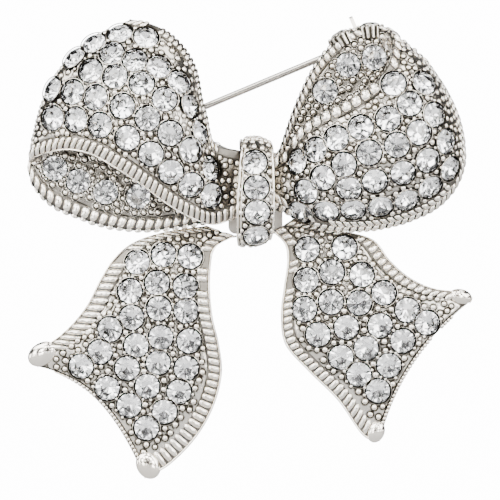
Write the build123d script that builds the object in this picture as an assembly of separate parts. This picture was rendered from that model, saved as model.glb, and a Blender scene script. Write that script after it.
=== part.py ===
"""Bow brooch: six cast ribbon pieces round a knot, set with chatons, with a hinged pin and a catch.

The frame is the brooch as it is worn: +Z up, +X to the viewer's right, the front facing -Y.
The origin is on the pin stem's axis, where the stem crosses the bow's centre line.
Lengths are in millimetres.
"""
from build123d import *
import math
import os

# ---- Driving dimensions ----------------------------------------------------
STONE_DIAMETER = 2.60  # SS9 chaton
STONE_CLEARANCE = 0.03  # all round each stone in its seat
GIRDLE_HALF = 0.06  # half of the stone's thin straight rim
CROWN_HEIGHT = 0.44
TABLE_RADIUS = 0.72
PAVILION_DEPTH = 1.02
GIRDLE_SINK = 0.10  # how far the girdle lies under the metal's surface
SEAT_FLOOR_RADIUS = 0.32
SEAT_FLOOR_DEPTH = 0.14  # free room under the stone's point
SEAT_TOP = 2.0  # the pocket is cut open from above this far over the girdle
CROWN_FACETS = 8
CASTING_THICKNESS = 1.65
BAND_THICKNESS = 1.10

STEM_TILT = math.radians(22.7)  # the stem rises to the right, seen from the front
STEM_RADIUS = 0.35
HINGE_S = -18.5  # places along the stem's axis, counted from the origin towards the tip
STEM_WALL_END_S = 8.6  # where the taper starts
STEM_TIP_S = 14.4
STEM_TIP_RADIUS = 0.05
EYE_RADIUS = 0.95
EYE_THICKNESS = 0.90
RIVET_RADIUS = 0.36
RIVET_PLAY = 0.05
RIVET_HEAD_RADIUS = 0.62
RIVET_HEAD_HEIGHT = 0.22
RIVET_HEAD_ROUNDING = 0.18
EAR_THICKNESS = 0.50
EAR_PLAY = 0.06
EAR_RADIUS = 1.00
FOOT_FRONT_Y = -2.20  # the fittings' feet are soldered to the loops' backs here
FOOT_BACK_Y = -1.35
FOOT_LENGTH = 4.6
FOOT_CORNER_RADIUS = 0.6

CATCH_S = 12.0
CATCH_LENGTH = 2.2
CATCH_OUTER_RADIUS = 1.45
CATCH_INNER_RADIUS = 1.08
CATCH_FOOT_HALF_WIDTH = 1.015
ROTOR_OUTER_RADIUS = 1.00
ROTOR_INNER_RADIUS = 0.52
ROTOR_FLANGE_RADIUS = 1.36
ROTOR_FLANGE_THICKNESS = 0.42
ROTOR_END_PLAY = 0.06
SLOT_WIDTH = 0.94  # lets the stem through
HOUSING_SLOT_WIDTH = 1.06
TAB_LENGTH = 1.55
TAB_THICKNESS = 0.46
TAB_ANGLE = 62.0  # degrees from the slot, towards the bow's top

# ---- Ribbons ---------------------------------------------------------------
# A ribbon is a row of stations along its length. Each station has its two edge points, the bulge of
# the ribbon between them, and a skew that moves the fullest place towards the second edge.
LEFT_LOOP_FRONT = [
    ((-1.0, -5.4, -14.2), (-1.0, -5.4, -7.0), (0.0, -0.3, 0.0), 0.0),
    ((-3.8, -6.0, -15.2), (-4.0, -5.2, -6.0), (0.0, -1.4, 0.0), 0.0),
    ((-6.2, -7.4, -14.6), (-4.8, -5.2, -3.2), (0.0, -2.4, 0.0), 0.3),
    ((-8.9, -8.3, -13.1), (-5.4, -5.2, -0.6), (0.0, -3.0, 0.0), 0.3),
    ((-11.6, -8.8, -11.1), (-5.9, -5.2, 2.0), (0.0, -3.2, 0.0), 0.3),
    ((-14.6, -8.8, -9.1), (-7.1, -5.2, 4.3), (-0.1, -3.0, 0.1), 0.2),
    ((-17.5, -8.2, -7.5), (-8.9, -5.1, 6.1), (-0.4, -2.6, 0.4), 0.1),
    ((-20.4, -7.0, -7.0), (-11.0, -4.9, 7.1), (-1.1, -2.1, 1.0), 0.1),
    ((-23.4, -5.3, -7.7), (-12.6, -4.5, 7.2), (-2.5, -1.2, 1.9), 0.1),
    ((-24.3, -3.9, -8.4), (-13.0, -3.9, 7.1), (-2.6, 0.0, 2.1), 0.1),
]
LEFT_LOOP_BACK = [
    ((-1.5, -3.8, -14.4), (-1.5, -3.8, -7.2), (0.0, 0.0, 0.0), 0.0),
    ((-4.9, -4.1, -14.9), (-4.6, -3.5, -5.4), (0.0, 0.1, 0.0), 0.0),
    ((-8.3, -4.3, -15.5), (-5.6, -3.5, -1.6), (0.0, 0.2, 0.0), 0.0),
    ((-12.1, -4.4, -15.8), (-6.4, -3.5, 1.6), (0.0, 0.2, 0.0), 0.0),
    ((-16.0, -4.4, -15.3), (-7.8, -3.5, 4.2), (0.0, 0.2, 0.0), 0.0),
    ((-19.3, -4.3, -14.2), (-9.6, -3.2, 5.8), (-0.8, 0.2, 0.6), 0.0),
    ((-22.0, -4.2, -12.9), (-11.3, -3.1, 6.5), (-1.6, 0.1, 1.2), 0.0),
    ((-23.9, -4.0, -10.9), (-12.4, -3.1, 6.8), (-2.0, 0.0, 1.8), 0.1),
    ((-24.5, -3.5, -9.0), (-13.0, -3.2, 6.8), (-2.4, 0.0, 2.0), 0.1),
]
RIGHT_LOOP_FRONT = [
    ((2.2, -5.0, -7.8), (2.2, -5.0, -13.4), (0.0, -0.2, 0.0), 0.0),
    ((4.0, -5.6, -7.0), (4.3, -5.2, -14.2), (0.0, -1.4, 0.0), 0.0),
    ((5.5, -7.0, -4.6), (6.7, -5.2, -15.4), (0.0, -2.4, 0.0), 0.3),
    ((7.6, -8.3, -3.0), (10.1, -5.2, -16.0), (0.0, -3.0, 0.0), 0.3),
    ((9.9, -8.8, -1.9), (14.1, -5.1, -15.8), (0.1, -3.4, 0.0), 0.3),
    ((12.1, -8.9, -0.6), (17.9, -5.0, -14.8), (0.2, -3.4, 0.0), 0.3),
    ((14.0, -8.8, 0.9), (21.3, -4.9, -12.9), (0.3, -3.4, 0.0), 0.2),
    ((15.2, -8.2, 2.7), (23.4, -4.8, -9.7), (0.4, -3.2, 0.2), 0.1),
    ((15.6, -7.2, 4.3), (23.5, -4.6, -5.7), (0.4, -2.7, 0.3), 0.1),
    ((15.5, -5.8, 5.5), (22.2, -4.4, -1.8), (0.4, -2.0, 0.3), 0.1),
    ((15.0, -4.1, 6.2), (19.8, -4.0, 2.2), (0.3, -0.4, 0.3), 0.1),
]
RIGHT_LOOP_BACK = [
    ((2.8, -3.8, -7.6), (2.8, -3.8, -13.6), (0.0, 0.0, 0.0), 0.0),
    ((3.4, -4.0, -6.6), (4.8, -3.6, -13.9), (0.0, 0.1, 0.0), 0.0),
    ((4.2, -4.2, -4.3), (7.0, -3.6, -14.9), (0.0, 0.1, 0.0), 0.0),
    ((5.3, -4.3, -1.5), (10.5, -3.6, -15.3), (0.0, 0.2, 0.0), 0.0),
    ((6.6, -4.4, 1.3), (14.6, -3.6, -15.0), (0.0, 0.2, 0.0), 0.0),
    ((8.3, -4.4, 3.8), (18.4, -3.6, -13.6), (0.0, 0.2, 0.0), 0.0),
    ((10.5, -4.3, 5.8), (21.6, -3.6, -10.6), (0.3, 0.1, 0.0), 0.0),
    ((12.8, -4.2, 6.6), (22.8, -3.6, -6.2), (0.6, 0.1, 0.3), 0.0),
    ((14.2, -4.0, 6.7), (21.9, -3.6, -2.0), (0.6, 0.0, 0.5), 0.0),
    ((15.3, -3.6, 6.3), (19.6, -3.6, 2.2), (0.2, 0.0, 0.2), 0.0),
]
LEFT_TAIL = [
    ((-4.8, -4.2, -15.3), (-1.4, -4.2, -16.4), (0.0, 0.0, 0.0), 0.0),
    ((-9.6, -4.0, -16.1), (-3.2, -4.4, -17.2), (0.0, -0.4, 0.0), 0.0),
    ((-13.0, -4.0, -17.3), (-4.0, -4.6, -18.1), (0.0, -0.7, 0.0), 0.0),
    ((-15.0, -4.2, -19.0), (-4.3, -4.8, -19.6), (0.0, -0.9, 0.0), 0.0),
    ((-16.5, -4.5, -21.3), (-4.4, -5.0, -22.2), (0.0, -1.0, 0.0), 0.0),
    ((-18.0, -4.8, -24.2), (-4.1, -5.0, -25.4), (0.0, -1.0, 0.0), 0.0),
    ((-20.0, -4.8, -26.6), (-3.4, -4.8, -28.4), (0.0, -0.9, 0.0), 0.0),
    ((-22.2, -4.5, -28.3), (-3.1, -4.5, -31.6), (0.0, -0.9, 0.2), 0.0),
    ((-23.5, -4.2, -29.0), (-4.0, -4.3, -35.2), (0.2, -0.9, 0.5), 0.0),
    ((-24.1, -4.0, -29.6), (-5.9, -4.1, -38.6), (0.4, -0.8, 1.0), 0.0),
    ((-24.1, -3.9, -30.2), (-8.8, -4.0, -41.6), (0.6, -0.6, 1.5), 0.0),
    ((-23.4, -3.9, -30.9), (-11.6, -4.0, -43.2), (1.0, -0.4, 2.0), -0.1),
]
RIGHT_TAIL = [
    ((2.4, -4.2, -15.9), (4.8, -4.2, -14.5), (0.0, 0.0, 0.0), 0.0),
    ((3.8, -4.4, -17.3), (10.2, -4.2, -15.9), (0.0, -0.5, 0.0), 0.0),
    ((4.1, -4.6, -19.3), (13.6, -4.2, -16.9), (0.0, -0.8, 0.0), 0.0),
    ((3.7, -4.8, -22.3), (15.4, -4.4, -19.1), (0.0, -0.9, 0.0), 0.0),
    ((3.4, -5.0, -25.2), (17.4, -4.6, -20.9), (0.0, -1.0, 0.0), 0.0),
    ((3.9, -4.9, -28.4), (19.8, -4.7, -22.1), (-0.2, -1.0, 0.2), 0.0),
    ((6.4, -4.6, -31.3), (22.3, -4.4, -22.5), (-0.4, -0.9, 0.3), 0.0),
    ((9.7, -4.2, -34.6), (23.9, -4.1, -22.8), (-0.7, -0.8, 0.5), 0.0),
    ((12.4, -4.0, -38.4), (24.5, -4.0, -23.2), (-1.0, -0.6, 0.7), 0.0),
    ((14.3, -3.9, -39.1), (24.3, -3.9, -23.8), (-1.2, -0.4, 0.9), 0.0),
]
KNOT_BAND = [
    ((-1.2, -2.3, -6.9), (2.3, -2.3, -7.2), (0.0, 0.0, 0.1), 0.0),
    ((-1.1, -5.2, -6.0), (2.3, -5.2, -6.3), (0.0, -0.2, 0.5), 0.0),
    ((-0.9, -7.6, -6.5), (2.5, -7.6, -6.8), (0.0, -0.5, 0.4), 0.0),
    ((-1.1, -8.8, -8.6), (2.6, -8.8, -8.6), (0.0, -0.6, 0.1), 0.0),
    ((-1.3, -9.1, -11.5), (2.7, -9.1, -11.5), (0.0, -0.6, 0.0), 0.0),
    ((-1.4, -8.8, -14.4), (2.7, -8.8, -14.2), (0.0, -0.6, 0.0), 0.0),
    ((-1.4, -7.5, -16.6), (2.5, -7.5, -16.0), (0.0, -0.5, -0.4), 0.0),
    ((-1.3, -5.2, -17.4), (2.3, -5.2, -16.7), (0.0, -0.2, -0.4), 0.0),
    ((-1.2, -2.3, -16.6), (2.2, -2.3, -16.0), (0.0, 0.0, -0.1), 0.0),
]

# ---- Stone rows ------------------------------------------------------------
# Each row has its number of stones and the (x, z) points that its line passes through.
STONE_ROWS = {
    "left_loop_front": [
        (8, [(-21.7, -3.5), (-17.1, -4.1), (-12.0, -6.6), (-8.1, -9.9), (-4.2, -12.0)]),
        (8, [(-21.8, -0.3), (-17.6, -1.1), (-12.5, -2.9), (-8.1, -5.7), (-4.3, -9.0)]),
        (5, [(-19.4, 3.2), (-16.7, 1.3), (-12.7, 0.7), (-9.3, -1.5)]),
        (7, [(-17.2, 4.8), (-15.15, 3.65), (-12.6, 2.8), (-10.0, 2.1), (-7.7, 0.4), (-6.5, -2.2), (-5.4, -5.1)]),
        (2, [(-14.3, 5.9), (-11.4, 5.4)]),
    ],
    "left_loop_back": [
        (4, [(-21.5, -9.0), (-18.9, -10.4), (-15.9, -11.6), (-12.3, -12.1)]),
    ],
    "right_loop_front": [
        (7, [(5.1, -8.3), (8.2, -6.4), (12.1, -4.6), (16.4, -3.0), (19.1, 0.3)]),
        (7, [(6.1, -11.6), (9.0, -9.4), (13.0, -7.4), (17.4, -6.0), (20.2, -3.2)]),
        (5, [(10.8, -11.3), (14.6, -10.2), (18.7, -8.8), (21.5, -6.1)]),
        (7, [(5.5, -13.9), (9.8, -13.7), (14.3, -13.3), (18.6, -12.0), (22.0, -9.1)]),
        (1, [(15.7, 0.2)]),
    ],
    "right_loop_back": [
        (3, [(8.3, -0.5), (10.8, 2.4), (13.7, 3.2)]),
    ],
    "left_tail": [
        (3, [(-12.4, -19.3), (-9.5, -18.5), (-6.6, -18.7)]),
        (3, [(-13.2, -22.5), (-10.2, -21.6), (-7.1, -22.0)]),
        (3, [(-13.0, -25.4), (-10.0, -24.4), (-7.0, -24.7)]),
        (4, [(-15.4, -26.7), (-12.5, -28.5), (-9.8, -27.6), (-6.7, -28.0)]),
        (4, [(-16.5, -29.2), (-13.5, -31.0), (-10.1, -30.4), (-7.0, -31.0)]),
        (4, [(-18.6, -30.8), (-15.7, -33.2), (-11.3, -33.0), (-7.8, -33.6)]),
        (2, [(-13.3, -35.1), (-9.4, -35.8)]),
        (1, [(-11.4, -37.6)]),
    ],
    "right_tail": [
        (2, [(6.3, -17.9), (10.4, -17.7)]),
        (3, [(6.2, -21.3), (9.0, -20.4), (12.3, -20.7)]),
        (4, [(6.0, -24.5), (8.9, -23.7), (12.0, -23.8), (14.7, -22.7)]),
        (5, [(7.5, -27.3), (10.6, -26.5), (14.3, -26.3), (17.3, -24.6), (19.5, -26.0)]),
        (3, [(10.0, -29.8), (12.8, -28.8), (16.8, -28.0)]),
        (2, [(12.0, -31.7), (15.3, -30.7)]),
        (1, [(14.1, -33.5)]),
    ],
    "knot_band": [
        (4, [(0.5, -8.4), (0.7, -11.2), (0.8, -13.9), (0.7, -16.5)]),
    ],
}

# Two stones stand in cast cups on the right loop's upper rim, seen edge-on from the front: centre and axis.
RIM_STONES = [((9.9, -3.3, 5.6), (-0.50, 0.1, 0.85)), ((13.2, -3.3, 6.6), (-0.10, 0.1, 0.98))]
RIM_CUP_RADIUS = 1.55
RIM_CUP_DEPTH = 1.45

# The solder post inside the knot and the plate behind it: lowest and highest corners.
KNOT_CORE = ((-0.98, -6.8, -14.7), (2.18, -2.2, -8.2))
KNOT_BACK_PLATE = ((-2.4, -2.2, -16.2), (3.6, -1.4, -7.2))
CORE_CORNER_RADIUS = 0.5
PLATE_CORNER_RADIUS = 0.8

# ---- Ribbon geometry -------------------------------------------------------
STEPS_ALONG = 24
STEPS_ACROSS = 8
NEARER_WEIGHT = 0.1  # prefers the nearer of two places that lie one behind the other
SAMPLES_ALONG = 40
SAMPLES_ACROSS = 16
PLACING_ROUNDS = 8


def through(points, t):
    """A smooth curve through points of any size, at t from 0 to 1 (Catmull-Rom)."""
    if len(points) == 1:
        return points[0]
    place = t * (len(points) - 1)
    i = min(int(place), len(points) - 2)
    f = place - i
    values = []
    for k in range(len(points[0])):
        p1 = points[i][k]
        p2 = points[i + 1][k]
        p0 = points[i - 1][k] if i > 0 else 2 * p1 - p2
        p3 = points[i + 2][k] if i + 2 < len(points) else 2 * p2 - p1
        slope = -p0 + p2
        square = 2 * p0 - 5 * p1 + 4 * p2 - p3
        cube = -p0 + 3 * p1 - 3 * p2 + p3
        values.append(0.5 * (2 * p1 + slope * f + square * f**2 + cube * f**3))
    return tuple(values)


class Ribbon:
    """The front surface of one ribbon. u runs along it, v across it, both from 0 to 1."""

    def __init__(self, stations):
        self.rows = [(*a, *b, *bulge, skew) for a, b, bulge, skew in stations]
        self.side = 1
        self.side = -1 if self.normal(0.5, 0.5).Y > 0 else 1
        self.samples = []
        for i in range(SAMPLES_ALONG + 1):
            for j in range(SAMPLES_ACROSS + 1):
                u, v = i / SAMPLES_ALONG, j / SAMPLES_ACROSS
                self.samples.append((u, v, self.point(u, v)))

    def point(self, u, v):
        row = through(self.rows, u)
        fullness = 4 * v * (1 - v) * (1 + row[9] * (2 * v - 1))
        first, second, bulge = Vector(*row[0:3]), Vector(*row[3:6]), Vector(*row[6:9])
        return first + (second - first) * v + bulge * fullness

    def slopes(self, u, v, step=1e-3):
        """How the point moves for a unit of u and for a unit of v."""
        low_u, high_u = max(u - step, 0), min(u + step, 1)
        low_v, high_v = max(v - step, 0), min(v + step, 1)
        along = (self.point(high_u, v) - self.point(low_u, v)) / (high_u - low_u)
        across = (self.point(u, high_v) - self.point(u, low_v)) / (high_v - low_v)
        return along, across

    def normal(self, u, v):
        """Points out of the set face, towards the viewer on a flat stretch."""
        along, across = self.slopes(u, v)
        return along.cross(across).normalized() * self.side

    def place(self, x, z):
        """(u, v) of the surface's point that the viewer sees at (x, z)."""
        def misplaced(sample):
            seen = sample[2]
            return math.hypot(seen.X - x, seen.Z - z) + NEARER_WEIGHT * seen.Y

        u, v, _ = min(self.samples, key=misplaced)
        for _ in range(PLACING_ROUNDS):
            here = self.point(u, v)
            along, across = self.slopes(u, v)
            turn = along.X * across.Z - along.Z * across.X
            miss_x, miss_z = x - here.X, z - here.Z
            u = min(max(u + (miss_x * across.Z - miss_z * across.X) / turn, 0), 1)
            v = min(max(v + (along.X * miss_z - along.Z * miss_x) / turn, 0), 1)
        return u, v


def spline_face(rows):
    return Face.make_surface_from_array_of_points(rows, tol=0.01, min_deg=3, max_deg=3)


def ribbon_solid(ribbon, thickness):
    """A closed plate between the ribbon's front surface and the same surface one thickness behind it."""
    front, back = [], []
    for i in range(STEPS_ALONG + 1):
        u = i / STEPS_ALONG
        front_row, back_row = [], []
        for j in range(STEPS_ACROSS + 1):
            v = j / STEPS_ACROSS
            point = ribbon.point(u, v)
            front_row.append(point)
            back_row.append(point - ribbon.normal(u, v) * thickness)
        front.append(front_row)
        back.append(back_row)
    front_face, back_face = spline_face(front), spline_face(back)
    faces = [front_face, back_face]
    back_edges = back_face.edges()
    for edge in front_face.edges():
        near = back_edges.sort_by(lambda other: (other.center() - edge.center()).length)[0]
        faces.append(Face.make_surface_from_curves(edge, near))
    return Solid(Shell(faces))


def between(first, second):
    """A box from its lowest to its highest corner."""
    size = [b - a for a, b in zip(first, second)]
    middle = [(a + b) / 2 for a, b in zip(first, second)]
    return Pos(*middle) * Box(*size)


# ---- Stones and their seats ------------------------------------------------
def ring(radius, height, count):
    turns = [2 * math.pi * i / count for i in range(count)]
    return [Vector(radius * math.cos(turn), radius * math.sin(turn), height) for turn in turns]


def facet(*corners):
    return Face(Wire.make_polygon(corners, close=True))


def chaton():
    """A foil-backed chaton standing on Z, its girdle's middle at the origin."""
    radius = STONE_DIAMETER / 2
    rim_count = 2 * CROWN_FACETS
    table = ring(TABLE_RADIUS, GIRDLE_HALF + CROWN_HEIGHT, CROWN_FACETS)
    upper = ring(radius, GIRDLE_HALF, rim_count)
    lower = ring(radius, -GIRDLE_HALF, rim_count)
    culet = Vector(0, 0, -GIRDLE_HALF - PAVILION_DEPTH)
    faces = [facet(*table)]
    for i in range(CROWN_FACETS):
        here, after = table[i], table[(i + 1) % CROWN_FACETS]
        a, b, c = upper[2 * i], upper[2 * i + 1], upper[(2 * i + 2) % rim_count]
        faces += [facet(here, a, b), facet(here, b, after), facet(after, b, c)]
    for i in range(rim_count):
        j = (i + 1) % rim_count
        faces += [facet(lower[i], lower[j], upper[j], upper[i]), facet(culet, lower[j], lower[i])]
    return Solid(Shell(faces))


def seat():
    """The pocket that takes a chaton: open upwards, conical below the girdle."""
    radius = STONE_DIAMETER / 2 + STONE_CLEARANCE
    floor = -GIRDLE_HALF - PAVILION_DEPTH - SEAT_FLOOR_DEPTH
    outline = [
        (0, floor),
        (SEAT_FLOOR_RADIUS, floor),
        (radius, -GIRDLE_HALF - STONE_CLEARANCE),
        (radius, SEAT_TOP),
        (0, SEAT_TOP),
    ]
    with BuildPart() as pocket:
        with BuildSketch(Plane.XZ):
            with BuildLine():
                Polyline(*outline, close=True)
            make_face()
        revolve(axis=Axis.Z)
    return pocket.part


def stone_locations(ribbon, rows):
    """For each row, the places of its stones: the girdle's middle, with Z out of the metal."""
    places = []
    for count, guides in rows:
        row = []
        for i in range(count):
            x, z = through(guides, i / (count - 1) if count > 1 else 0)
            u, v = ribbon.place(x, z)
            normal = ribbon.normal(u, v)
            origin = ribbon.point(u, v) - normal * GIRDLE_SINK
            row.append(Plane(origin=origin, x_dir=Vector(0, 0, 1).cross(normal), z_dir=normal).location)
        places.append(row)
    return places


# ---- Pin and catch, in a frame along the stem --------------------------------
ALONG = Vector(math.cos(STEM_TILT), 0, math.sin(STEM_TILT))
UPWARD = Vector(-math.sin(STEM_TILT), 0, math.cos(STEM_TILT))


def stem_frame(s):
    """Local X along the stem, Y to the back, Z up across the stem."""
    return Plane(origin=ALONG * s, x_dir=ALONG, z_dir=UPWARD)


def hinge_bracket():
    gap = EYE_THICKNESS + 2 * EAR_PLAY
    width = gap + 2 * EAR_THICKNESS
    foot = between((-FOOT_LENGTH / 2, FOOT_FRONT_Y, -width / 2), (FOOT_LENGTH / 2, FOOT_BACK_Y, width / 2))
    foot = fillet(foot.edges().filter_by(Axis.Y), FOOT_CORNER_RADIUS)
    ears = between((-EAR_RADIUS, FOOT_FRONT_Y, -width / 2), (EAR_RADIUS, 0, width / 2))
    ears += Cylinder(EAR_RADIUS, width)
    space = between((-2 * EAR_RADIUS, FOOT_BACK_Y, -gap / 2), (2 * EAR_RADIUS, 2 * EAR_RADIUS, gap / 2))
    bore = Cylinder(RIVET_RADIUS, 2 * width)
    return stem_frame(HINGE_S) * (foot + (ears - space) - bore)


def hinge_rivet():
    width = EYE_THICKNESS + 2 * EAR_PLAY + 2 * EAR_THICKNESS
    rivet = Cylinder(RIVET_RADIUS, width + 2 * RIVET_HEAD_HEIGHT)
    head_place = (width + RIVET_HEAD_HEIGHT) / 2
    for side in (1, -1):
        head = Pos(0, 0, side * head_place) * Cylinder(RIVET_HEAD_RADIUS, RIVET_HEAD_HEIGHT)
        outer_edge = head.edges().sort_by(Axis.Z)[-1 if side > 0 else 0]
        rivet += fillet(outer_edge, RIVET_HEAD_ROUNDING)
    return stem_frame(HINGE_S) * rivet


def pin_stem():
    """The wire and its eye, then the sharpened end that lies in the catch."""
    wall = STEM_WALL_END_S - HINGE_S
    point = STEM_TIP_S - STEM_WALL_END_S
    wire = Pos(wall / 2, 0, 0) * Rot(0, 90, 0) * Cylinder(STEM_RADIUS, wall)
    tip = Pos(wall + point / 2, 0, 0) * Rot(0, 90, 0) * Cone(STEM_RADIUS, STEM_TIP_RADIUS, point)
    eye = Cylinder(EYE_RADIUS, EYE_THICKNESS)
    bore = Cylinder(RIVET_RADIUS + RIVET_PLAY, 2 * EYE_THICKNESS)
    return stem_frame(HINGE_S) * (wire + tip + eye - bore)


def along_cylinder(radius, length, middle=0.0):
    return Pos(middle, 0, 0) * Rot(0, 90, 0) * Cylinder(radius, length)


def catch_housing():
    foot = between(
        (-CATCH_LENGTH / 2, FOOT_FRONT_Y, -CATCH_FOOT_HALF_WIDTH),
        (CATCH_LENGTH / 2, -CATCH_INNER_RADIUS, CATCH_FOOT_HALF_WIDTH),
    )
    body = foot + along_cylinder(CATCH_OUTER_RADIUS, CATCH_LENGTH)
    body -= along_cylinder(CATCH_INNER_RADIUS, 2 * CATCH_LENGTH)
    half_slot = HOUSING_SLOT_WIDTH / 2
    slot = between((-CATCH_LENGTH, 0, -half_slot), (CATCH_LENGTH, 2 * CATCH_OUTER_RADIUS, half_slot))
    return stem_frame(CATCH_S) * (body - slot)


def catch_rotor():
    """The drum that closes the slot, with an end flange each side and a thumb tab on the outer one."""
    drum_length = CATCH_LENGTH + 2 * ROTOR_END_PLAY
    drum = along_cylinder(ROTOR_OUTER_RADIUS, drum_length)
    flange_place = (drum_length + ROTOR_FLANGE_THICKNESS) / 2
    for side in (1, -1):
        drum += along_cylinder(ROTOR_FLANGE_RADIUS, ROTOR_FLANGE_THICKNESS, side * flange_place)
    reach = ROTOR_FLANGE_RADIUS + TAB_LENGTH
    tab = Pos(flange_place, reach / 2, 0) * Box(ROTOR_FLANGE_THICKNESS, reach, 2 * TAB_THICKNESS)
    tab += Pos(flange_place, reach, 0) * Rot(0, 90, 0) * Cylinder(TAB_THICKNESS, ROTOR_FLANGE_THICKNESS)
    drum += Rot(TAB_ANGLE, 0, 0) * tab
    drum -= along_cylinder(ROTOR_INNER_RADIUS, 3 * CATCH_LENGTH)
    half_slot = SLOT_WIDTH / 2
    slot = between((-2 * CATCH_LENGTH, 0, -half_slot), (2 * CATCH_LENGTH, 2 * ROTOR_OUTER_RADIUS, half_slot))
    return stem_frame(CATCH_S) * (drum - slot)


# ---- Knot -------------------------------------------------------------------
def knot_core():
    block = between(*KNOT_CORE)
    return fillet(block.edges().filter_by(Axis.X), CORE_CORNER_RADIUS)


def knot_back_plate():
    plate = between(*KNOT_BACK_PLATE)
    return fillet(plate.edges().filter_by(Axis.Y), PLATE_CORNER_RADIUS)


# ---- Nodes ------------------------------------------------------------------
RIBBONS = {
    "left_loop_front": (LEFT_LOOP_FRONT, CASTING_THICKNESS),
    "left_loop_back": (LEFT_LOOP_BACK, CASTING_THICKNESS),
    "right_loop_front": (RIGHT_LOOP_FRONT, CASTING_THICKNESS),
    "right_loop_back": (RIGHT_LOOP_BACK, CASTING_THICKNESS),
    "left_tail": (LEFT_TAIL, CASTING_THICKNESS),
    "right_tail": (RIGHT_TAIL, CASTING_THICKNESS),
    "knot_band": (KNOT_BAND, BAND_THICKNESS),
}
FITTINGS = {
    "knot_core": knot_core,
    "knot_back_plate": knot_back_plate,
    "hinge_bracket": hinge_bracket,
    "hinge_rivet": hinge_rivet,
    "pin_stem": pin_stem,
    "catch_housing": catch_housing,
    "catch_rotor": catch_rotor,
}


def build():
    stone, pocket = chaton(), seat()
    nodes = {}
    for name, (stations, thickness) in RIBBONS.items():
        ribbon = Ribbon(stations)
        casting = Part() + ribbon_solid(ribbon, thickness)
        rows = stone_locations(ribbon, STONE_ROWS[name])
        if name == "right_loop_back":
            rim = [Plane(origin=centre, z_dir=axis).location for centre, axis in RIM_STONES]
            cup = Pos(0, 0, -RIM_CUP_DEPTH / 2) * Cylinder(RIM_CUP_RADIUS, RIM_CUP_DEPTH)
            for place in rim:
                casting += place * cup
            rows.append(rim)
        nodes[name] = casting.cut(*[pocket.moved(place) for row in rows for place in row])
        for number, row in enumerate(rows, start=1):
            nodes[f"{name}_stones_{number}"] = Compound([stone.moved(place) for place in row])
    for name, make in FITTINGS.items():
        nodes[name] = make()
    return nodes


os.makedirs("parts", exist_ok=True)
for node_name, shape in build().items():
    export_step(shape, f"parts/{node_name}.step")
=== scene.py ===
import math
import bpy
import numpy as np
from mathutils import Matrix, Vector


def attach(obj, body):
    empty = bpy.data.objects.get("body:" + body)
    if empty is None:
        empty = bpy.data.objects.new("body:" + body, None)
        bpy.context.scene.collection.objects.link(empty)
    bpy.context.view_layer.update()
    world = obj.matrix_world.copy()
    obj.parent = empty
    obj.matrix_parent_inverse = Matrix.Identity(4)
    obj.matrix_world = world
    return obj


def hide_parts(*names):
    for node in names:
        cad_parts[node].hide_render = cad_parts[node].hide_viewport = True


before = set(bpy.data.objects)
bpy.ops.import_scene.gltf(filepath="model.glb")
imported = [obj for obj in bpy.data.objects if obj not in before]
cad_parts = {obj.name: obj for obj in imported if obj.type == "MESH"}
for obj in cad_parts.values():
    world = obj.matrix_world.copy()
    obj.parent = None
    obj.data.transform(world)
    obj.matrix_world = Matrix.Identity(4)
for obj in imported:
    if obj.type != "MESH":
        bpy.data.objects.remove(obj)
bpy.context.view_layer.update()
MM = 0.001
rng = np.random.default_rng(11)

# ---- Ribbons, in millimetres ---------------------------------------------------
# Each station has its two edge points, the bulge between them, and a skew towards the second edge.
LEFT_LOOP_FRONT = [
    ((-1.0, -5.4, -14.2), (-1.0, -5.4, -7.0), (0.0, -0.3, 0.0), 0.0),
    ((-3.8, -6.0, -15.2), (-4.0, -5.2, -6.0), (0.0, -1.4, 0.0), 0.0),
    ((-6.2, -7.4, -14.6), (-4.8, -5.2, -3.2), (0.0, -2.4, 0.0), 0.3),
    ((-8.9, -8.3, -13.1), (-5.4, -5.2, -0.6), (0.0, -3.0, 0.0), 0.3),
    ((-11.6, -8.8, -11.1), (-5.9, -5.2, 2.0), (0.0, -3.2, 0.0), 0.3),
    ((-14.6, -8.8, -9.1), (-7.1, -5.2, 4.3), (-0.1, -3.0, 0.1), 0.2),
    ((-17.5, -8.2, -7.5), (-8.9, -5.1, 6.1), (-0.4, -2.6, 0.4), 0.1),
    ((-20.4, -7.0, -7.0), (-11.0, -4.9, 7.1), (-1.1, -2.1, 1.0), 0.1),
    ((-23.4, -5.3, -7.7), (-12.6, -4.5, 7.2), (-2.5, -1.2, 1.9), 0.1),
    ((-24.3, -3.9, -8.4), (-13.0, -3.9, 7.1), (-2.6, 0.0, 2.1), 0.1),
]
LEFT_LOOP_BACK = [
    ((-1.5, -3.8, -14.4), (-1.5, -3.8, -7.2), (0.0, 0.0, 0.0), 0.0),
    ((-4.9, -4.1, -14.9), (-4.6, -3.5, -5.4), (0.0, 0.1, 0.0), 0.0),
    ((-8.3, -4.3, -15.5), (-5.6, -3.5, -1.6), (0.0, 0.2, 0.0), 0.0),
    ((-12.1, -4.4, -15.8), (-6.4, -3.5, 1.6), (0.0, 0.2, 0.0), 0.0),
    ((-16.0, -4.4, -15.3), (-7.8, -3.5, 4.2), (0.0, 0.2, 0.0), 0.0),
    ((-19.3, -4.3, -14.2), (-9.6, -3.2, 5.8), (-0.8, 0.2, 0.6), 0.0),
    ((-22.0, -4.2, -12.9), (-11.3, -3.1, 6.5), (-1.6, 0.1, 1.2), 0.0),
    ((-23.9, -4.0, -10.9), (-12.4, -3.1, 6.8), (-2.0, 0.0, 1.8), 0.1),
    ((-24.5, -3.5, -9.0), (-13.0, -3.2, 6.8), (-2.4, 0.0, 2.0), 0.1),
]
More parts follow.
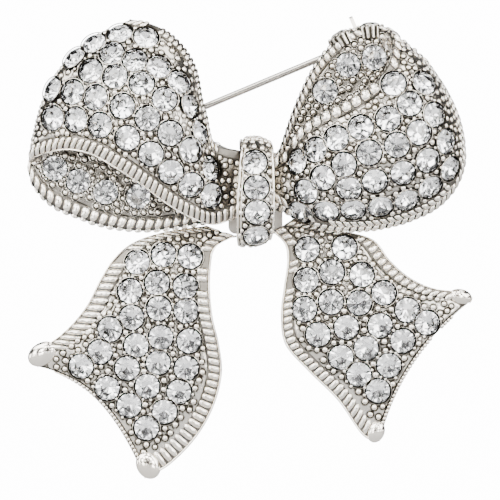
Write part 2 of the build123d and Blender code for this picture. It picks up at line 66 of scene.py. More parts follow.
RIGHT_LOOP_FRONT = [
    ((2.2, -5.0, -7.8), (2.2, -5.0, -13.4), (0.0, -0.2, 0.0), 0.0),
    ((4.0, -5.6, -7.0), (4.3, -5.2, -14.2), (0.0, -1.4, 0.0), 0.0),
    ((5.5, -7.0, -4.6), (6.7, -5.2, -15.4), (0.0, -2.4, 0.0), 0.3),
    ((7.6, -8.3, -3.0), (10.1, -5.2, -16.0), (0.0, -3.0, 0.0), 0.3),
    ((9.9, -8.8, -1.9), (14.1, -5.1, -15.8), (0.1, -3.4, 0.0), 0.3),
    ((12.1, -8.9, -0.6), (17.9, -5.0, -14.8), (0.2, -3.4, 0.0), 0.3),
    ((14.0, -8.8, 0.9), (21.3, -4.9, -12.9), (0.3, -3.4, 0.0), 0.2),
    ((15.2, -8.2, 2.7), (23.4, -4.8, -9.7), (0.4, -3.2, 0.2), 0.1),
    ((15.6, -7.2, 4.3), (23.5, -4.6, -5.7), (0.4, -2.7, 0.3), 0.1),
    ((15.5, -5.8, 5.5), (22.2, -4.4, -1.8), (0.4, -2.0, 0.3), 0.1),
    ((15.0, -4.1, 6.2), (19.8, -4.0, 2.2), (0.3, -0.4, 0.3), 0.1),
]
RIGHT_LOOP_BACK = [
    ((2.8, -3.8, -7.6), (2.8, -3.8, -13.6), (0.0, 0.0, 0.0), 0.0),
    ((3.4, -4.0, -6.6), (4.8, -3.6, -13.9), (0.0, 0.1, 0.0), 0.0),
    ((4.2, -4.2, -4.3), (7.0, -3.6, -14.9), (0.0, 0.1, 0.0), 0.0),
    ((5.3, -4.3, -1.5), (10.5, -3.6, -15.3), (0.0, 0.2, 0.0), 0.0),
    ((6.6, -4.4, 1.3), (14.6, -3.6, -15.0), (0.0, 0.2, 0.0), 0.0),
    ((8.3, -4.4, 3.8), (18.4, -3.6, -13.6), (0.0, 0.2, 0.0), 0.0),
    ((10.5, -4.3, 5.8), (21.6, -3.6, -10.6), (0.3, 0.1, 0.0), 0.0),
    ((12.8, -4.2, 6.6), (22.8, -3.6, -6.2), (0.6, 0.1, 0.3), 0.0),
    ((14.2, -4.0, 6.7), (21.9, -3.6, -2.0), (0.6, 0.0, 0.5), 0.0),
    ((15.3, -3.6, 6.3), (19.6, -3.6, 2.2), (0.2, 0.0, 0.2), 0.0),
]
LEFT_TAIL = [
    ((-4.8, -4.2, -15.3), (-1.4, -4.2, -16.4), (0.0, 0.0, 0.0), 0.0),
    ((-9.6, -4.0, -16.1), (-3.2, -4.4, -17.2), (0.0, -0.4, 0.0), 0.0),
    ((-13.0, -4.0, -17.3), (-4.0, -4.6, -18.1), (0.0, -0.7, 0.0), 0.0),
    ((-15.0, -4.2, -19.0), (-4.3, -4.8, -19.6), (0.0, -0.9, 0.0), 0.0),
    ((-16.5, -4.5, -21.3), (-4.4, -5.0, -22.2), (0.0, -1.0, 0.0), 0.0),
    ((-18.0, -4.8, -24.2), (-4.1, -5.0, -25.4), (0.0, -1.0, 0.0), 0.0),
    ((-20.0, -4.8, -26.6), (-3.4, -4.8, -28.4), (0.0, -0.9, 0.0), 0.0),
    ((-22.2, -4.5, -28.3), (-3.1, -4.5, -31.6), (0.0, -0.9, 0.2), 0.0),
    ((-23.5, -4.2, -29.0), (-4.0, -4.3, -35.2), (0.2, -0.9, 0.5), 0.0),
    ((-24.1, -4.0, -29.6), (-5.9, -4.1, -38.6), (0.4, -0.8, 1.0), 0.0),
    ((-24.1, -3.9, -30.2), (-8.8, -4.0, -41.6), (0.6, -0.6, 1.5), 0.0),
    ((-23.4, -3.9, -30.9), (-11.6, -4.0, -43.2), (1.0, -0.4, 2.0), -0.1),
]
RIGHT_TAIL = [
    ((2.4, -4.2, -15.9), (4.8, -4.2, -14.5), (0.0, 0.0, 0.0), 0.0),
    ((3.8, -4.4, -17.3), (10.2, -4.2, -15.9), (0.0, -0.5, 0.0), 0.0),
    ((4.1, -4.6, -19.3), (13.6, -4.2, -16.9), (0.0, -0.8, 0.0), 0.0),
    ((3.7, -4.8, -22.3), (15.4, -4.4, -19.1), (0.0, -0.9, 0.0), 0.0),
    ((3.4, -5.0, -25.2), (17.4, -4.6, -20.9), (0.0, -1.0, 0.0), 0.0),
    ((3.9, -4.9, -28.4), (19.8, -4.7, -22.1), (-0.2, -1.0, 0.2), 0.0),
    ((6.4, -4.6, -31.3), (22.3, -4.4, -22.5), (-0.4, -0.9, 0.3), 0.0),
    ((9.7, -4.2, -34.6), (23.9, -4.1, -22.8), (-0.7, -0.8, 0.5), 0.0),
    ((12.4, -4.0, -38.4), (24.5, -4.0, -23.2), (-1.0, -0.6, 0.7), 0.0),
    ((14.3, -3.9, -39.1), (24.3, -3.9, -23.8), (-1.2, -0.4, 0.9), 0.0),
]
KNOT_BAND = [
    ((-1.2, -2.3, -6.9), (2.3, -2.3, -7.2), (0.0, 0.0, 0.1), 0.0),
    ((-1.1, -5.2, -6.0), (2.3, -5.2, -6.3), (0.0, -0.2, 0.5), 0.0),
    ((-0.9, -7.6, -6.5), (2.5, -7.6, -6.8), (0.0, -0.5, 0.4), 0.0),
    ((-1.1, -8.8, -8.6), (2.6, -8.8, -8.6), (0.0, -0.6, 0.1), 0.0),
    ((-1.3, -9.1, -11.5), (2.7, -9.1, -11.5), (0.0, -0.6, 0.0), 0.0),
    ((-1.4, -8.8, -14.4), (2.7, -8.8, -14.2), (0.0, -0.6, 0.0), 0.0),
    ((-1.4, -7.5, -16.6), (2.5, -7.5, -16.0), (0.0, -0.5, -0.4), 0.0),
    ((-1.3, -5.2, -17.4), (2.3, -5.2, -16.7), (0.0, -0.2, -0.4), 0.0),
    ((-1.2, -2.3, -16.6), (2.2, -2.3, -16.0), (0.0, 0.0, -0.1), 0.0),
]

CASTING_THICKNESS = 1.65
BAND_THICKNESS = 1.10
STONE_RADIUS = 1.33
GRID = 0.17  # the castings' mesh spacing
EDGE_ROUND = 0.42  # the rounding of a casting's edges
SEAT_WALL = 0.16  # from a stone's radius to its pit's wall
SEAT_SLOPE = 0.14
SEAT_DEPTH = 1.28
SEAT_SHADOW = 0.38  # the painted shade round a stone reaches this far past its radius
GROOVE_DEPTH = 0.10  # the line between a ribbed band and the stones' field
BACK_INSET = 0.03  # the rough back lies this far inside the casting's thickness


def curve(rows, t):
    """A smooth curve through the rows at each t from 0 to 1 (Catmull-Rom)."""
    last = len(rows) - 1
    place = np.clip(t, 0, 1) * last
    i = np.minimum(place.astype(int), last - 1)
    f = (place - i)[..., None]
    wide = np.vstack([2 * rows[0] - rows[1], rows, 2 * rows[-1] - rows[-2]])
    p0, p1, p2, p3 = (wide[i + k] for k in range(4))
    square = 2 * p0 - 5 * p1 + 4 * p2 - p3
    cube = -p0 + 3 * p1 - 3 * p2 + p3
    return 0.5 * (2 * p1 + (p2 - p0) * f + square * f**2 + cube * f**3)


def unit(vectors):
    return vectors / np.maximum(np.linalg.norm(vectors, axis=-1, keepdims=True), 1e-9)


def lengths(points):
    """Distance along a row of points, from 0."""
    steps = np.linalg.norm(np.diff(points, axis=0), axis=-1)
    return np.concatenate([np.zeros((1,) + steps.shape[1:]), np.cumsum(steps, axis=0)])


def across_axes(axis):
    """Two unit vectors square to an axis and to each other."""
    helper = np.array([0.0, 0.0, 1.0]) if abs(axis[2]) < 0.9 else np.array([1.0, 0.0, 0.0])
    first = unit(np.cross(helper, axis))
    return first, np.cross(axis, first)


def edge_distances(face):
    """Distance from each of a grid's four edges, at each of its points."""
    along, across = lengths(face), lengths(face.swapaxes(0, 1)).swapaxes(0, 1)
    return {"a": across, "b": across[:, -1:] - across, "start": along, "end": along[-1:] - along}


class Sheet:
    """A ribbon's front surface, with tables that turn millimetres from an edge into (u, v)."""

    FINE_U, FINE_V = 241, 121

    def __init__(self, stations):
        self.rows = np.array([[*a, *b, *bulge, skew] for a, b, bulge, skew in stations])
        self.side = 1
        self.side = -1 if self.normal(np.array(0.5), np.array(0.5))[1] > 0 else 1
        self.stones = np.zeros((0, 3))
        self.us = np.linspace(0, 1, self.FINE_U)
        self.vs = np.linspace(0, 1, self.FINE_V)
        grid = self.point(*np.meshgrid(self.us, self.vs, indexing="ij"))
        self.along = lengths(grid)
        self.across = lengths(grid.swapaxes(0, 1))

    def point(self, u, v):
        """The surface at (u, v): u runs along the ribbon and v from edge a to edge b."""
        row = curve(self.rows, u)
        v = np.clip(v, 0, 1)[..., None]
        fullness = 4 * v * (1 - v) * (1 + row[..., 9:] * (2 * v - 1))
        return row[..., 0:3] * (1 - v) + row[..., 3:6] * v + row[..., 6:9] * fullness

    def normal(self, u, v, step=2e-3):
        """The direction out of the front."""
        u, v = np.clip(u, step, 1 - step), np.clip(v, step, 1 - step)
        along = self.point(u + step, v) - self.point(u - step, v)
        across = self.point(u, v + step) - self.point(u, v - step)
        return unit(np.cross(along, across)) * self.side

    def edge_table(self, edge):
        """Distance along an edge, and the parameter at each."""
        if edge in "ab":
            return self.along[:, 0 if edge == "a" else -1], self.us
        return self.across[:, 0 if edge == "start" else -1], self.vs

    def spot(self, edge, run, inward):
        """(u, v) at a distance along an edge and a distance in from it."""
        table, params = self.edge_table(edge)
        t = float(np.interp(run, table, params))
        inward = max(inward, 0)
        if edge in "ab":
            line = self.across[:, int(round(t * (self.FINE_U - 1)))]
            return t, float(np.interp(inward if edge == "a" else line[-1] - inward, line, self.vs))
        line = self.along[:, int(round(t * (self.FINE_V - 1)))]
        return float(np.interp(inward if edge == "start" else line[-1] - inward, line, self.us)), t

    def place(self, edge, run, inward, height):
        """Points at distances along and in from an edge, at heights over the face.

        A negative distance in runs down the side wall, and its height stands out from the wall.
        """
        spots = np.array([self.spot(edge, r, x) for r, x in zip(run, inward)])
        u, v = spots[:, 0], spots[:, 1]
        base, normal = self.point(u, v), self.normal(u, v)
        deeper = np.array([self.spot(edge, r, 0.3) for r in run])
        outward = unit(self.point(u, v) - self.point(deeper[:, 0], deeper[:, 1]) + 1e-9)
        wall = (inward < 0)[:, None]
        base = base + np.where(wall, normal * np.minimum(inward, 0)[:, None], 0)
        return base + np.where(wall, outward, normal) * height[:, None]


# ---- Mesh building --------------------------------------------------------------
class Mesh:
    """Collects vertices, faces, a crevice value per vertex, which the metal paints as shade, and a material
    number per face.
    """

    def __init__(self):
        self.points, self.crevices, self.faces, self.slots = [], [], [], []
        self.count = 0

    def add(self, points, faces, crevice=0.0, slot=0):
        """Adds a piece; crevice and slot are one value, or a list of them."""
        points = np.asarray(points, float).reshape(-1, 3)
        self.points.append(points)
        self.crevices.append(np.broadcast_to(np.asarray(crevice, float), (len(points),)))
        self.faces += [tuple(k + self.count for k in face) for face in faces]
        self.slots += np.broadcast_to(slot, (len(faces),)).tolist()
        self.count += len(points)

    def build(self, name, materials, sharp=math.radians(45), flat=False):
        """Makes the object; edges bent by more than sharp stay crisp."""
        data = bpy.data.meshes.new(name)
        points = np.vstack(self.points) * MM
        data.from_pydata(points.tolist(), [], self.faces)
        for material in materials:
            data.materials.append(material)
        data.polygons.foreach_set("material_index", self.slots)
        data.polygons.foreach_set("use_smooth", [not flat] * len(self.faces))
        shade = data.attributes.new("crevice", "FLOAT", "POINT")
        shade.data.foreach_set("value", np.concatenate(self.crevices).astype(np.float32))
        data.update()
        if not flat:
            data.set_sharp_from_angle(angle=sharp)
        obj = bpy.data.objects.new(name, data)
        bpy.context.scene.collection.objects.link(obj)
        return obj


def quads(rows, columns, closed=False):
    """Faces of a grid of rows of points; closed joins the last column to the first."""
    faces = []
    for i in range(rows - 1):
        for j in range(columns if closed else columns - 1):
            k = (j + 1) % columns
            faces.append((i * columns + j, i * columns + k, (i + 1) * columns + k, (i + 1) * columns + j))
    return faces


def capped(rows, columns):
    """Faces of a closed tube of rows, with its two ends."""
    faces = quads(rows, columns, closed=True)
    faces.append(tuple(range(columns))[::-1])
    faces.append(tuple((rows - 1) * columns + j for j in range(columns)))
    return faces


def dense_ends(count, k=0.45):
    """Values from 0 to 1 that lie closer together near both ends."""
    s = np.linspace(0, 1, count)
    return s - k * np.sin(2 * np.pi * s) / (2 * np.pi)


# ---- Cast details -----------------------------------------------------------------
RIB_STATIONS = [  # share of the rib's length, of its width and of its height
    (0.02, 0.5, 0.25),
    (0.10, 0.82, 0.75),
    (0.26, 1.0, 1.0),
    (0.5, 1.0, 1.05),
    (0.74, 1.0, 1.0),
    (0.90, 0.82, 0.75),
    (0.98, 0.5, 0.25),
]
RIB_CLEARANCE = 0.22  # no rib stands closer than this to a stone
RIDGE_STEP = 0.3
FLARE_START = 0.55  # the tails' ribs grow longer from here to the tips
RIB_TURNS = np.radians(np.linspace(-30, 210, 8))


def rib_row(
    mesh, sheet, edge, band, pitch, height, inset=0.08, start=0.0, end=1.0, slant=0.0, fill=0.47, flare=0.0
):
    """Cast ribs across an edge's band, side by side along it, each a little uneven.

    A negative band puts them on the side wall. Fill is half a rib's width as a share of the pitch.
    """
    table, _ = sheet.edge_table(edge)
    length = table[-1] * (end - start)
    count = max(int(round(length / pitch)), 1)
    step = length / count
    faces = capped(len(RIB_STATIONS), len(RIB_TURNS))
    for k in range(count):
        middle = table[-1] * start + (k + 0.5) * step
        wide_band = band * (1 + flare * max(middle / table[-1] - FLARE_START, 0) / (1 - FLARE_START))
        if len(sheet.stones) and band > 0:
            probes = np.array([inset + 0.25 * wide_band, inset + 0.8 * wide_band])
            reach = sheet.place(edge, [middle] * 2, probes, np.zeros(2))
            gap = np.linalg.norm(reach[:, None] - sheet.stones[None], axis=-1).min() - STONE_RADIUS
            if gap < RIB_CLEARANCE:
                continue
        tallness, width = height * rng.uniform(0.85, 1.12), fill * rng.uniform(0.93, 1.02)
        run, inward, rise, dark = [], [], [], []
        for share, wide, tall in RIB_STATIONS:
            for turn in RIB_TURNS:
                x = inset + wide_band * share if band > 0 else band * share - inset
                run.append(middle + math.cos(turn) * wide * step * width + slant * (x - inset))
                inward.append(x)
                rise.append(math.sin(turn) * tall * tallness)
                # Painted shade on each rib's lower side, down to its foot.
                dark.append(1.0 if math.sin(turn) < 0.25 else 0.0)
        mesh.add(sheet.place(edge, run, np.array(inward), np.array(rise)), faces, dark)


def ridge(mesh, sheet, edge, inward, radius, height=0.0, start=0.0, end=1.0):
    """A smooth raised line along an edge."""
    table, _ = sheet.edge_table(edge)
    low, high = table[-1] * start, table[-1] * end
    runs = np.linspace(low, high, max(int((high - low) / RIDGE_STEP), 3))
    turns = np.linspace(0, 2 * np.pi, 10, endpoint=False)
    points = []
    for i, run in enumerate(runs):
        taper = 0.4 if i in (0, len(runs) - 1) else 1.0
        x = inward + radius * taper * np.cos(turns)
        rise = height + radius * taper * np.sin(turns)
        points.append(sheet.place(edge, [run] * len(turns), np.maximum(x, 0), rise))
    mesh.add(np.vstack(points), capped(len(runs), len(turns)))


def dome(mesh, centre, normal, radius, height, sides=12, levels=5):
    """A round cast bead standing on the metal."""
    e1, e2 = across_axes(normal)
    turns = np.linspace(0, 2 * np.pi, sides, endpoint=False)
    points, dark = [], []
    for level in range(levels):
        rise = math.radians(-30 + 105 * level / (levels - 1))
        for turn in turns:
            side = radius * math.cos(rise) if rise > 0 else radius
            out = math.cos(turn) * e1 + math.sin(turn) * e2
            points.append(centre + side * out + normal * height * math.sin(rise))
            # Painted shade round the bead's foot.
            dark.append(1.0 if rise < 0.1 else 0.0)
    mesh.add(points, capped(levels, sides), dark)


HOOP_SIDES = 7  # round the hoop's own section


def hoop(mesh, centre, normal, radius, tube, lift=0.0, sides=28):
    """A thin cast ring standing on the metal."""
    e1, e2 = across_axes(normal)
    turns = np.linspace(0, 2 * np.pi, sides, endpoint=False)
    section = np.linspace(0, 2 * np.pi, HOOP_SIDES, endpoint=False)
    points, dark = [], []
    for turn in turns:
        out = math.cos(turn) * e1 + math.sin(turn) * e2
        for angle in section:
            side, rise = radius + tube * math.cos(angle), lift + tube * math.sin(angle)
            points.append(centre + out * side + normal * rise)
            # Painted shade on the ring's underside and inner side.
            dark.append(1.0 if math.sin(angle) < 0.2 or math.cos(angle) < -0.1 else 0.0)
    faces = quads(sides + 1, HOOP_SIDES, closed=True)
    faces = [tuple(k % len(points) for k in face) for face in faces]
    mesh.add(points, faces, dark)


def shell(mesh, sheet, thickness, stones, beads, bands, patina_and_shade):
    """The casting: its face with a pit for each stone, its side walls and its rough back."""
    nu, nv = (max(int(float(table[-1].max()) / GRID), 12) for table in (sheet.along, sheet.across))
    u, v = np.meshgrid(dense_ends(nu), dense_ends(nv), indexing="ij")
    face, normal = sheet.point(u, v), sheet.normal(u, v)
    edges = edge_distances(face)
    rim = np.minimum.reduce(list(edges.values()))
    fall = EDGE_ROUND - np.sqrt(np.maximum(EDGE_ROUND**2 - np.maximum(EDGE_ROUND - rim, 0) ** 2, 0))
    height = -fall
    # Painted shade, carried by crevice: a darkening over the whole face, deeper near the knot, round each
    # stone's seat, round each bead's foot, over the ribbed bands and deepest in their grooves.
    knot_shade = 0.10 * np.clip(1 - u / 0.12, 0, 1)
    crevice = np.full_like(height, patina_and_shade) + knot_shade
    for centre, _ in stones:
        past = np.linalg.norm(face - centre, axis=-1) - STONE_RADIUS
        wall = np.clip((SEAT_WALL - past) / SEAT_SLOPE, 0, 1)
        height = np.where(wall > 0, np.minimum(height, -SEAT_DEPTH * wall), height)
        crevice = np.maximum(crevice, np.clip((SEAT_SHADOW - past) / 0.08, 0, 1))
    for centre, _, radius in beads:
        away = np.linalg.norm(face - centre, axis=-1)
        crevice = np.maximum(crevice, np.exp(-(((away - radius * 1.1) / 0.14) ** 2)))
    for edge, inward in edges.items():
        if edge not in bands:
            continue
        groove = np.exp(-(((inward - bands[edge] - 0.05) / 0.11) ** 2))
        crevice = np.maximum(crevice, np.where(inward < bands[edge], 0.7, 0.0))
        crevice = np.maximum(crevice, 0.85 * groove)
        height = height - GROOVE_DEPTH * groove
    front = face + normal * height[..., None]
    slow = np.sin(face[..., 0] * 0.83 + 1.9 * np.sin(face[..., 2] * 0.31))
    ripple = 0.012 * slow * np.sin(face[..., 2] * 0.67 + 1.3 * np.sin(face[..., 0] * 0.47))
    back = face - normal * (thickness - fall - BACK_INSET + ripple)[..., None]
    mesh.add(front, quads(nu, nv), np.clip(crevice, 0, 1).ravel())
    mesh.add(back, [face[::-1] for face in quads(nu, nv)], 0.0, slot=1)
    ring = [(i, 0) for i in range(nu)] + [(nu - 1, j) for j in range(1, nv)]
    ring += [(i, nv - 1) for i in range(nu - 2, -1, -1)] + [(0, j) for j in range(nv - 2, 0, -1)]
    rows, columns = np.array(ring).T
    top, bottom = front[rows, columns], back[rows, columns]
    # Painted shade on the side walls.
    mesh.add(np.vstack([top, bottom]), quads(2, len(ring), closed=True), 0.25)


BEAD_TIERS = ((0.40, 0.62, 1.25), (0.19, 0.40, 1.05), (0.62, 9.0, 1.0))  # gap from, gap to, spacing
BEAD_SIZES = 0.17, 0.34  # smallest and largest radius
BEAD_GAP = 0.12


def bead_places(sheet, stones, bands):
    """Places for cast beads wherever the stones leave room: the middling gaps first."""
    u, v = np.meshgrid(np.linspace(0, 1, 150), np.linspace(0, 1, 110), indexing="ij")
    face, normal = sheet.point(u, v), sheet.normal(u, v)
    edges = edge_distances(face)
    wider = 1 + bands.get("flare", 0.0) * np.maximum(u - FLARE_START, 0) / (1 - FLARE_START)
    rim = np.min([edges[edge] - bands.get(edge, 0.0) * wider for edge in edges], axis=0)
    away = np.min([np.linalg.norm(face - centre, axis=-1) for centre, _ in stones], axis=0)
    fits = (away > STONE_RADIUS + 0.19) & (rim > 0.30)
    spots, normals, gaps, rims = face[fits], normal[fits], away[fits] - STONE_RADIUS, rim[fits]
    chosen = []
    for low, high, reach in BEAD_TIERS:
        tier = np.nonzero((gaps >= low) & (gaps < high))[0]
        for k in rng.permutation(tier):
            radius = float(np.clip(min(gaps[k] * 0.78, rims[k]), *BEAD_SIZES)) * rng.uniform(0.85, 1.0)
            apart = ((np.linalg.norm(spots[k] - other), (radius + size) * reach) for other, _, size in chosen)
            if all(distance > room + BEAD_GAP for distance, room in apart):
                chosen.append((spots[k], normals[k], radius))
    return chosen


# ---- Stones ------------------------------------------------------------------------
def islands(node):
    """The corner points of each separate solid in a CAD node, in millimetres."""
    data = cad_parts[node].data
    places = np.round(np.array([vertex.co for vertex in data.vertices]) / MM, 3)
    unique, index = np.unique(places, axis=0, return_inverse=True)
    index = index.ravel()
    parent = list(range(len(unique)))

    def root(k):
        while parent[k] != k:
            parent[k] = parent[parent[k]]
            k = parent[k]
        return k

    for polygon in data.polygons:
        corners = [root(index[k]) for k in polygon.vertices]
        for corner in corners[1:]:
            parent[root(corner)] = root(corners[0])
    groups = {}
    for k in range(len(unique)):
        groups.setdefault(root(k), []).append(unique[k])
    return [np.array(group) for group in groups.values()]


POINT_DEPTH = 1.08  # from the girdle's middle to the CAD stone's point
TABLE_RADIUS, TABLE_HEIGHT = 0.74, 0.46
GIRDLE_HALF = 0.05
FOIL_DEPTH = 1.06
FACETS = 8


def stone_place(points):
    """A stone's girdle middle and its axis, out of the metal."""
    middle = points.mean(axis=0)
    _, axes = np.linalg.eigh(np.cov((points - middle).T))
    axis = axes[:, 0]
    reach = (points - middle) @ axis
    if reach.max() > -reach.min():
        axis, reach = -axis, -reach
    tip = points[np.argmin(reach)]
    return tip + axis * POINT_DEPTH, axis


def level(radius, height, count, twist=0.0):
    """A ring of corners round a stone's axis."""
    turns = 2 * np.pi * (np.arange(count) + twist) / count
    return np.stack([radius * np.cos(turns), radius * np.sin(turns), np.full(count, height)], axis=-1)


def cut_stone(mesh, centre, axis):
    """A round chaton: its table, eight wide and eight narrow crown facets, and a foiled pavilion."""
    e1, e2 = across_axes(axis)
    turn = rng.uniform(0, 2 * np.pi)
    e1, e2 = math.cos(turn) * e1 + math.sin(turn) * e2, math.cos(turn) * e2 - math.sin(turn) * e1
    corners = 2 * FACETS
    table = level(TABLE_RADIUS, TABLE_HEIGHT, FACETS, 0.5)
    girdle = level(STONE_RADIUS, GIRDLE_HALF, corners)
    foot = level(STONE_RADIUS, -GIRDLE_HALF, corners)
    tip = np.array([[0.0, 0.0, -FOIL_DEPTH]])
    points = np.vstack([table, girdle, foot, tip]) @ np.stack([e1, e2, axis]) + centre
    g, f, p = FACETS, FACETS + corners, FACETS + 2 * corners  # where girdle, foot and tip start
    crown, pavilion = [tuple(range(FACETS))], []
    for i in range(FACETS):
        first, second, third = 2 * i, 2 * i + 1, (2 * i + 2) % corners
        crown.append((i, g + first, g + second))
        crown.append((i, g + second, g + third))
        crown.append((i, g + third, (i + 1) % FACETS))
        pavilion.append((f + first, p, f + third))
        pavilion.append((f + first, f + third, f + second))
    rim = [(g + i, f + i, f + (i + 1) % corners, g + (i + 1) % corners) for i in range(corners)]
    glass = crown + rim
    mesh.add(points, glass + pavilion, slot=[0] * len(glass) + [1] * len(pavilion))


# ---- Materials ------------------------------------------------------------------------
def material(name):
    """A new material with its node tree and its shader."""
    made = bpy.data.materials.new(name)
    made.use_nodes = True
    tree = made.node_tree
    return made, tree, tree.nodes["Principled BSDF"]


def object_noise(tree, scale, detail=2.0):
    """Noise fixed to the object, with this many grains to the metre."""
    place = tree.nodes.new("ShaderNodeTexCoord")
    noise = tree.nodes.new("ShaderNodeTexNoise")
    noise.inputs["Scale"].default_value = scale
    noise.inputs["Detail"].default_value = detail
    tree.links.new(place.outputs["Object"], noise.inputs["Vector"])
    return noise.outputs["Fac"]


def mapped(tree, value, **ends):
    """A value moved from one range to another."""
    node = tree.nodes.new("ShaderNodeMapRange")
    for end, number in ends.items():
        node.inputs[end.replace("_", " ").title()].default_value = number
    tree.links.new(value, node.inputs["Value"])
    return node.outputs["Result"]


def mixed(tree, share, first, second):
    """Two colours mixed by a share; a colour is given as a value or as a socket."""
    node = tree.nodes.new("ShaderNodeMix")
    node.data_type = "RGBA"
    tree.links.new(share, node.inputs[0])
    for socket, colour in ((node.inputs[6], first), (node.inputs[7], second)):
        if isinstance(colour, tuple):
            socket.default_value = (*colour, 1)
        else:
            tree.links.new(colour, socket)
    return node.outputs[2]


def maths(tree, operation, first, second, third=None):
    """The result of a sum done for every point of the surface."""
    node = tree.nodes.new("ShaderNodeMath")
    node.operation = operation
    for socket, value in zip(node.inputs, (first, second, third)):
        if isinstance(value, float):
            socket.default_value = value
        elif value is not None:
            tree.links.new(value, socket)
    return node.outputs["Value"]


PATCH_SHARE = 0.12  # the warm patches' scale, as a share of the grain's
PATCH_TINT = 0.96, 0.90, 0.80
CREVICE_SHADE_FULL = 0.80  # the crevice value at which the painted shade is full
CREVICE_DULLING = 0.38
GRAIN_HEIGHT = 0.0001


def cast_metal(name, colour, dark, roughness, grain, bump):
    """Plated cast metal with painted shade and dullness in its crevices, and a fine grain from the mould."""
    made, tree, shader = material(name)
    shader.inputs["Metallic"].default_value = 1.0
    attribute = tree.nodes.new("ShaderNodeAttribute")
    attribute.attribute_name = "crevice"
    crevice = attribute.outputs["Fac"]
    noise = object_noise(tree, grain, detail=4.0)
    patch = object_noise(tree, grain * PATCH_SHARE)
    warm = tuple(channel * tint for channel, tint in zip(colour, PATCH_TINT))
    plating = mixed(tree, patch, colour, warm)
    # Painted shade: the base colour goes towards the dark colour by the crevice value.
    crevice_shade = mapped(tree, crevice, from_max=CREVICE_SHADE_FULL)
    tree.links.new(mixed(tree, crevice_shade, plating, dark), shader.inputs["Base Color"])
    shine = mapped(tree, noise, to_min=roughness * 0.7, to_max=roughness * 1.4)
    dull = maths(tree, "MULTIPLY_ADD", maths(tree, "MULTIPLY", crevice, crevice), CREVICE_DULLING, shine)
    tree.links.new(dull, shader.inputs["Roughness"])
    lift = tree.nodes.new("ShaderNodeBump")
    lift.inputs["Strength"].default_value = bump
    lift.inputs["Distance"].default_value = GRAIN_HEIGHT
    tree.links.new(noise, lift.inputs["Height"])
    tree.links.new(lift.outputs["Normal"], shader.inputs["Normal"])
    return made


def clear_glass():
    """Colourless lead glass."""
    made, _, shader = material("clear_glass")
    shader.inputs["Base Color"].default_value = (0.985, 0.99, 1.0, 1)
    shader.inputs["Roughness"].default_value = 0.0
    shader.inputs["IOR"].default_value = 1.56
    shader.inputs["Transmission Weight"].default_value = 1.0
    return made


def mirror_foil():
    """The silvered back of a chaton, a little uneven."""
    made, tree, shader = material("mirror_foil")
    shader.inputs["Metallic"].default_value = 1.0
    shader.inputs["Roughness"].default_value = 0.06
    silver = mapped(tree, object_noise(tree, 900.0), to_min=0.86, to_max=0.97)
    tree.links.new(silver, shader.inputs["Base Color"])
    return made


# Colour, colour of the painted crevice shade, roughness, grains to the metre, and the grain's strength.
PLATED = cast_metal("plated_metal", (0.81, 0.785, 0.745), (0.020, 0.017, 0.012), 0.10, 1500.0, 0.30)
ROUGH_BACK = cast_metal("rough_cast_back", (0.46, 0.45, 0.44), (0.10, 0.10, 0.09), 0.34, 1400.0, 0.55)
STEEL = cast_metal("nickel_fittings", (0.46, 0.45, 0.435), (0.10, 0.10, 0.10), 0.12, 2600.0, 0.10)
GLASS = clear_glass()
FOIL = mirror_foil()

# ---- Castings and stones -----------------------------------------------------------------
# Each ribbon's stations, thickness, the width of the ribbed band along each edge, and the darkening of its
# whole face: patina, and painted shade that is deepest on the back loops, which lie behind the fronts.
SHEETS = {
    "left_loop_front": (LEFT_LOOP_FRONT, CASTING_THICKNESS, {"a": 1.6, "b": 1.25, "end": 1.0}, 0.30),
    "left_loop_back": (LEFT_LOOP_BACK, CASTING_THICKNESS, {"a": 1.5}, 0.58),
    "right_loop_front": (RIGHT_LOOP_FRONT, CASTING_THICKNESS, {"a": 1.45, "b": 2.0}, 0.26),
    "right_loop_back": (RIGHT_LOOP_BACK, CASTING_THICKNESS, {"a": 1.1}, 0.50),
    "left_tail": (LEFT_TAIL, CASTING_THICKNESS, {"a": 1.9, "b": 1.6, "end": 0.45, "flare": 0.5}, 0.20),
    "right_tail": (RIGHT_TAIL, CASTING_THICKNESS, {"a": 1.4, "b": 1.6, "end": 0.45, "flare": 0.5}, 0.20),
    "knot_band": (KNOT_BAND, BAND_THICKNESS, {}, 0.18),
}


